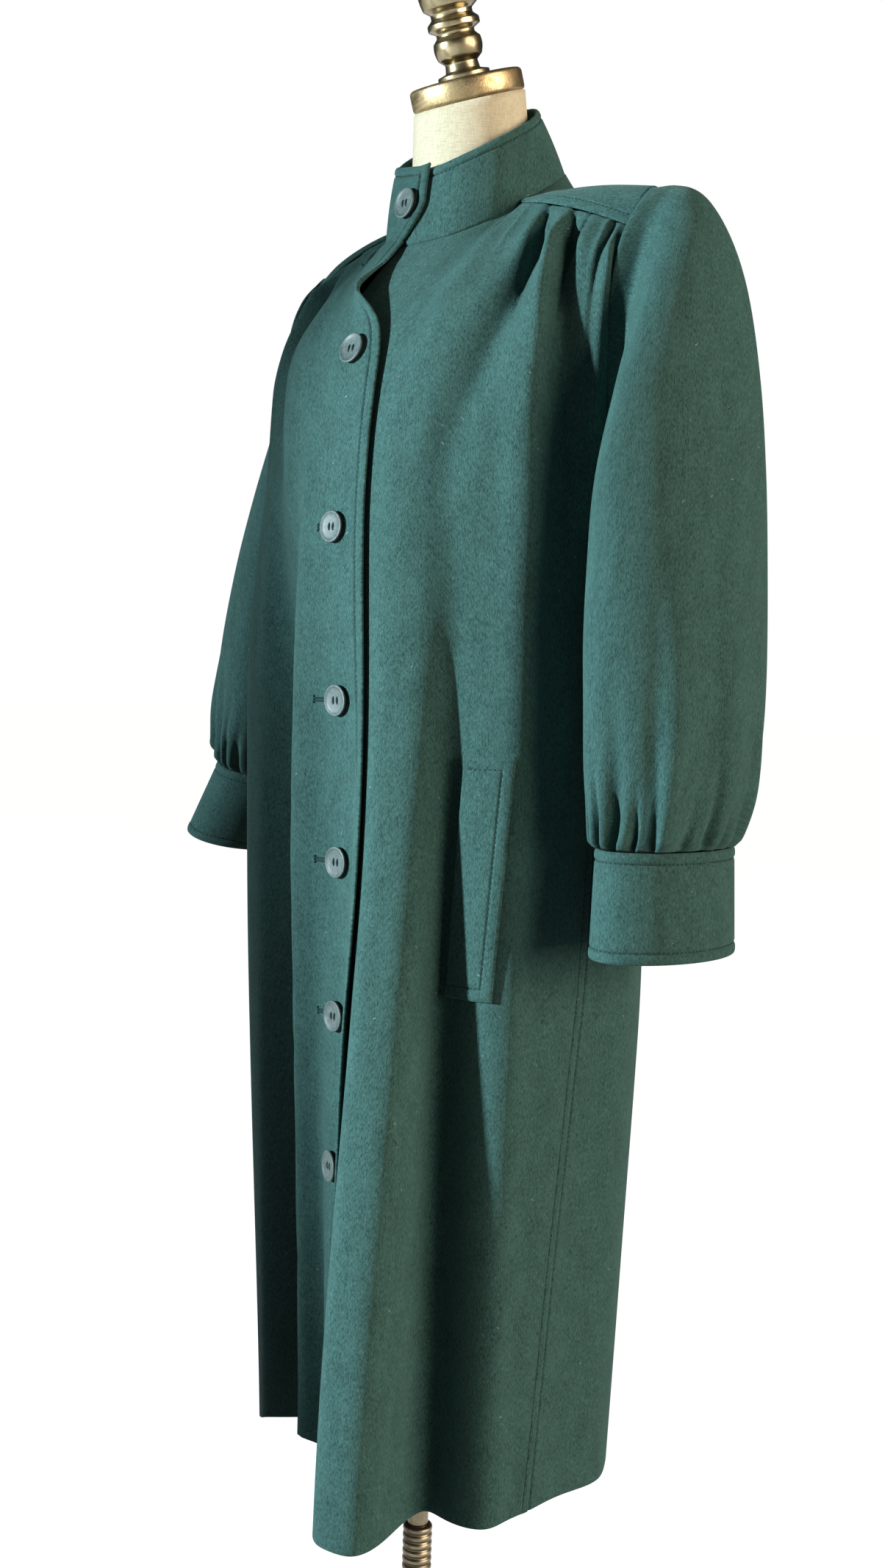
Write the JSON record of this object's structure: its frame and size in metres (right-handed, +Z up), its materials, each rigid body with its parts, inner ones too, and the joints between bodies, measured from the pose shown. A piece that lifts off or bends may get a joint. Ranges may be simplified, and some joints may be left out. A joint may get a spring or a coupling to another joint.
{
  "type": "long wool coat on a dress form",
  "caption": "Long wool coat with stand collar, gathered yoke, full sleeves on deep cuffs and welt pockets, worn open at hem and cuffs on a limbless linen dress form with a round foot.",
  "frame": {"origin": "centre of the underside of the form's round foot, on the floor under the pole", "axes": "+Z up along the pole, -Y towards the front of the coat, +X towards the wearer's left"},
  "size_m": [0.664, 0.44, 1.6253],
  "materials": {
    "green_wool": "napped woven wool",
    "cream_linen": "plain woven linen",
    "aged_brass": "aged and rubbed",
    "dark_iron": "painted satin black",
    "grey_horn": "semi-matte moulded"
  },
  "bodies": {
    "root": {"front_right": "green_wool", "front_left": "green_wool", "back": "green_wool", "yoke": "green_wool", "collar": "green_wool", "sleeve_left": "green_wool", "sleeve_right": "green_wool", "cuff_left": "green_wool", "cuff_right": "green_wool", "welt_left": "green_wool", "welt_right": "green_wool", "button_1": "grey_horn", "button_2": "grey_horn", "button_3": "grey_horn", "button_4": "grey_horn", "button_5": "grey_horn", "button_6": "grey_horn", "button_7": "grey_horn", "form_torso": "cream_linen", "form_cap": "aged_brass", "form_finial": "aged_brass", "form_tube": "aged_brass", "form_post": "aged_brass", "form_base": "dark_iron"}
  },
  "joints": []
}
